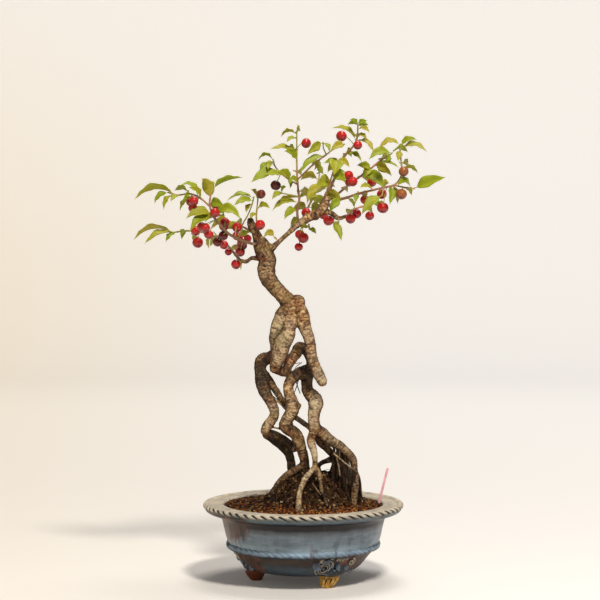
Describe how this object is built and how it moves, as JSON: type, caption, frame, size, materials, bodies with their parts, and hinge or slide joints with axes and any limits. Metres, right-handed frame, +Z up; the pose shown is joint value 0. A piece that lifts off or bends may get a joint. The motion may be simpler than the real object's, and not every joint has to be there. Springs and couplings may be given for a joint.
{
  "type": "korean cherry bonsai",
  "caption": "Bonsai cherry tree with tall raised roots, pointed leaves and small red fruit, planted in a round glazed pot with a rope-edged rim and masked feet.",
  "frame": {"origin": "on the ground under the middle of the plant's whole spread; the pot's axis is 15 mm to the right of it", "axes": "+Z up the tree; +X to the right and -Y to the front, as the bonsai is meant to be seen"},
  "size_m": [0.3102, 0.2, 0.4615],
  "materials": {
    "glaze": "slate blue-grey glaze, rust brown where it thins, over a warm grey rim",
    "screen": "black plastic mesh",
    "soil": "orange-brown fired clay granules, dry and matt",
    "peat": "dark peaty soil held by fine roots, with moss",
    "bark": "grey-brown bark with fine cross rings, darker in the hollows",
    "foliage": "yellow-green leaves with a soft sheen, on green and salmon twigs",
    "cherry_skin": "glossy red skin on thin green stalks",
    "pick": "pale pink plastic"
  },
  "bodies": {
    "root": {"cherries_01": "cherry_skin", "cherries_02": "cherry_skin", "cherries_03": "cherry_skin", "cherries_04": "cherry_skin", "cherries_05": "cherry_skin", "cherries_06": "cherry_skin", "cherries_07": "cherry_skin", "cherries_08": "cherry_skin", "cherries_09": "cherry_skin", "cherries_10": "cherry_skin", "cherries_11": "cherry_skin", "cherries_12": "cherry_skin", "cherries_13": "cherry_skin", "cherries_14": "cherry_skin", "cherries_15": "cherry_skin", "cherries_16": "cherry_skin", "cherries_17": "cherry_skin", "cherries_18": "cherry_skin", "cherries_19": "cherry_skin", "cherries_20": "cherry_skin", "cherries_21": "cherry_skin", "cherries_22": "cherry_skin", "cherries_23": "cherry_skin", "cherries_24": "cherry_skin", "cherries_25": "cherry_skin", "cherries_26": "cherry_skin", "cherries_27": "cherry_skin", "cherries_28": "cherry_skin", "cherries_29": "cherry_skin", "cherries_30": "cherry_skin", "cherries_31": "cherry_skin", "drain_screen": "screen", "marker_pick": "pick", "pot": "glaze", "root_mound": "peat", "soil": "soil", "spray_fork": "foliage", "spray_left_back": "foliage", "spray_left_high": "foliage", "spray_left_low": "foliage", "spray_left_stub": "foliage", "spray_middle_back": "foliage", "spray_middle_front": "foliage", "spray_right_back": "foliage", "spray_right_front": "foliage", "spray_right_low": "foliage", "spray_top": "foliage", "spray_under_branch": "foliage", "spray_under_right": "foliage", "spray_upright": "foliage", "tree_wood": "bark"}
  },
  "joints": []
}
